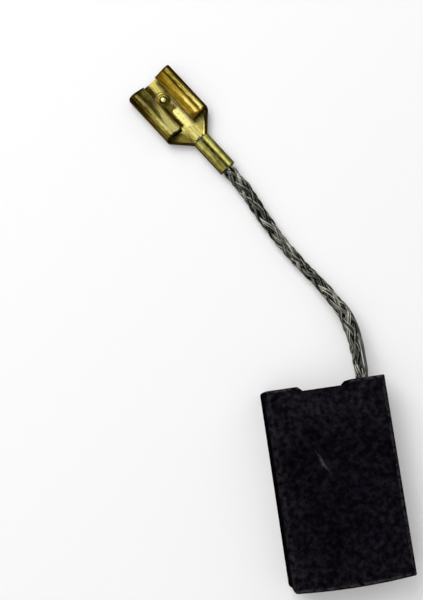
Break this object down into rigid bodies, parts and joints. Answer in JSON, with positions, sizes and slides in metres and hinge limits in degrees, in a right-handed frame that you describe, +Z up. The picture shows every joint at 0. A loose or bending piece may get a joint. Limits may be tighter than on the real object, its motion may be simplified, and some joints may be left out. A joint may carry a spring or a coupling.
{
  "type": "carbon brush",
  "caption": "Grooved carbon block with a tamped braided copper lead and a crimped brass push-on terminal.",
  "frame": {"origin": "under the middle of the carbon block, on the broad side that it lies on", "axes": "+Y along the block towards its lead, +Z up out of the other broad side, +X across the block towards the side that the lead is near"},
  "size_m": [0.0278, 0.0725, 0.0063],
  "materials": {
    "carbon": "ground carbon graphite, nearly black, with a dull sheen",
    "copper_powder": "dull packed copper powder",
    "tinned_copper": "braid of fine tinned copper wires",
    "terminal_brass": "stamped strip brass, lightly tarnished"
  },
  "bodies": {
    "root": {"carbon_block": "carbon", "tamped_powder": "copper_powder", "shunt_lead": "tinned_copper", "terminal": "terminal_brass"}
  },
  "joints": []
}
